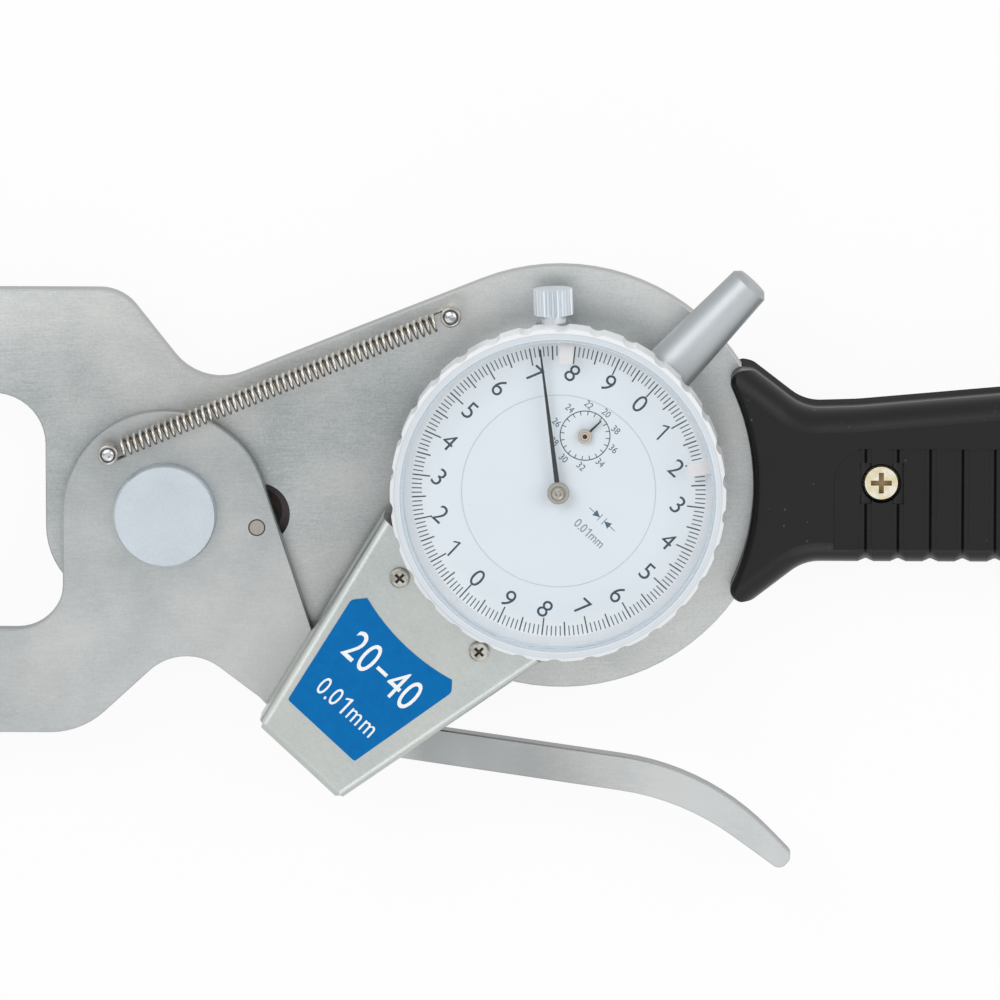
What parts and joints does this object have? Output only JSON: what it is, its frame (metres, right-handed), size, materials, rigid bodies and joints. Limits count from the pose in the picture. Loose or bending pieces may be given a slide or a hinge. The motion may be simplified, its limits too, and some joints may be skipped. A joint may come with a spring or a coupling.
{
  "type": "dial caliper gauge",
  "caption": "Outside dial caliper gauge: two flat jaws, finger lever, return spring, dial indicator with turning bezel, and a moulded handle.",
  "frame": {"origin": "on the jaw pivot's axis, at the flat foot of the pivot's cap nut, where the gauge rests on its back", "axes": "+X from the pivot to the handle, along the gauge's length; +Y towards the fixed jaw; +Z out of the dial"},
  "size_m": [0.2952, 0.1056, 0.0311],
  "materials": {
    "plate_steel": "satin brushed tool steel",
    "arm_steel": "satin brushed tool steel",
    "pivot_steel": "fine turned, satin chrome",
    "bright_steel": "polished small steel pieces",
    "zinc_screw": "yellow passivated zinc",
    "nickel_screw": "nickel plated, with a dark recess",
    "dark_steel": "dark oiled steel behind the stop",
    "spring_steel": "drawn spring wire",
    "satin_aluminium": "satin anodised",
    "bezel_aluminium": "satin anodised, pale",
    "case_aluminium": "satin anodised",
    "brass": "lightly brushed",
    "dial_white": "matte printed white",
    "hand_black": "matte black",
    "hand_brass": "grey brass",
    "crystal_clear": "clear acrylic",
    "marker_white": "pale plastic",
    "cover_steel": "bent sheet, brushed",
    "label_blue": "printed blue plate",
    "handle_black": "black moulded, satin"
  },
  "bodies": {
    "frame": {"main_plate": "plate_steel", "fixed_contact": "bright_steel", "contact_holder": "arm_steel", "contact_holder_screws": "bright_steel", "pivot_bolt": "pivot_steel", "pivot_back_washer": "dark_steel", "pivot_cap_nut": "bright_steel", "spring_post_plate": "bright_steel", "return_spring": "spring_steel", "indicator_back_cover": "case_aluminium", "indicator_screws": "bright_steel", "indicator_case": "case_aluminium", "stem": "satin_aluminium", "upper_bush": "brass", "spindle_cap": "satin_aluminium", "movement_plate": "brass", "movement_pillars": "brass", "movement_bridge": "brass", "inner_dial": "dial_white", "clamp_washer": "satin_aluminium", "cover": "cover_steel", "cover_posts": "bright_steel", "cover_screws": "nickel_screw", "range_label": "label_blue", "handle_front_shell": "handle_black", "handle_back_shell": "handle_black", "handle_inserts": "brass", "handle_screws": "zinc_screw"},
    "arm": {"moving_arm": "arm_steel", "anvil": "bright_steel", "anvil_screw": "bright_steel", "moving_contact": "bright_steel", "stop_pin": "dark_steel", "spring_post_arm": "bright_steel"},
    "spindle_body": {"spindle": "bright_steel", "contact_point": "bright_steel"},
    "rack_gear_body": {"rack_gear": "brass", "revolution_hand": "hand_brass"},
    "pointer_body": {"centre_pinion": "bright_steel", "main_pointer": "hand_black"},
    "bezel_body": {"bezel": "bezel_aluminium", "crystal": "crystal_clear", "scale_ring": "dial_white"},
    "marker_a_body": {"tolerance_marker_a": "marker_white"},
    "marker_b_body": {"tolerance_marker_b": "marker_white"},
    "clamp_body": {"clamp_knob": "bezel_aluminium"}
  },
  "joints": [
    {"name": "jaw_pivot", "type": "hinge", "parent": "frame", "child": "arm", "pos_m": [0, 0, 0.01235], "axis": [0, 0, 1], "range_deg": [0, 13], "stiffness_Nm_per_rad": 0.0375, "springref_deg": -106, "deforming": ["return_spring"]},
    {"name": "spindle_slide", "type": "slide", "parent": "frame", "child": "spindle_body", "axis": [0.6833, 0.7302, 0], "range_m": [-0.0001, 0.01055]},
    {"name": "rack_gear_turn", "type": "hinge", "parent": "frame", "child": "rack_gear_body", "pos_m": [0.07306, 0.01581, 0], "axis": [0, 0, 1], "range_deg": [-5, 381.1]},
    {"name": "pointer_turn", "type": "hinge", "parent": "frame", "child": "pointer_body", "pos_m": [0.0685, 0.0061, 0], "axis": [0, 0, 1], "range_deg": [-3781.1, 20]},
    {"name": "bezel_turn", "type": "hinge", "parent": "frame", "child": "bezel_body", "pos_m": [0.0685, 0.0061, 0], "axis": [0, 0, 1], "continuous": true},
    {"name": "marker_a_slide", "type": "hinge", "parent": "bezel_body", "child": "marker_a_body", "pos_m": [0.0685, 0.0061, 0], "axis": [0, 0, 1], "range_deg": [-35, 35]},
    {"name": "marker_b_slide", "type": "hinge", "parent": "bezel_body", "child": "marker_b_body", "pos_m": [0.0685, 0.0061, 0], "axis": [0, 0, 1], "range_deg": [-35, 35]},
    {"name": "clamp_turn", "type": "hinge", "parent": "frame", "child": "clamp_body", "pos_m": [0.0675, 0.03608, 0.0196], "axis": [-0.0332, 0.9995, 0], "range_deg": [0, 180]}
  ],
  "couplings": [
    {"joint": "spindle_slide", "follows": "jaw_pivot", "m_per_rad": 0.046046},
    {"joint": "rack_gear_turn", "follows": "jaw_pivot", "ratio": 28.931},
    {"joint": "pointer_turn", "follows": "jaw_pivot", "ratio": -289.31}
  ]
}
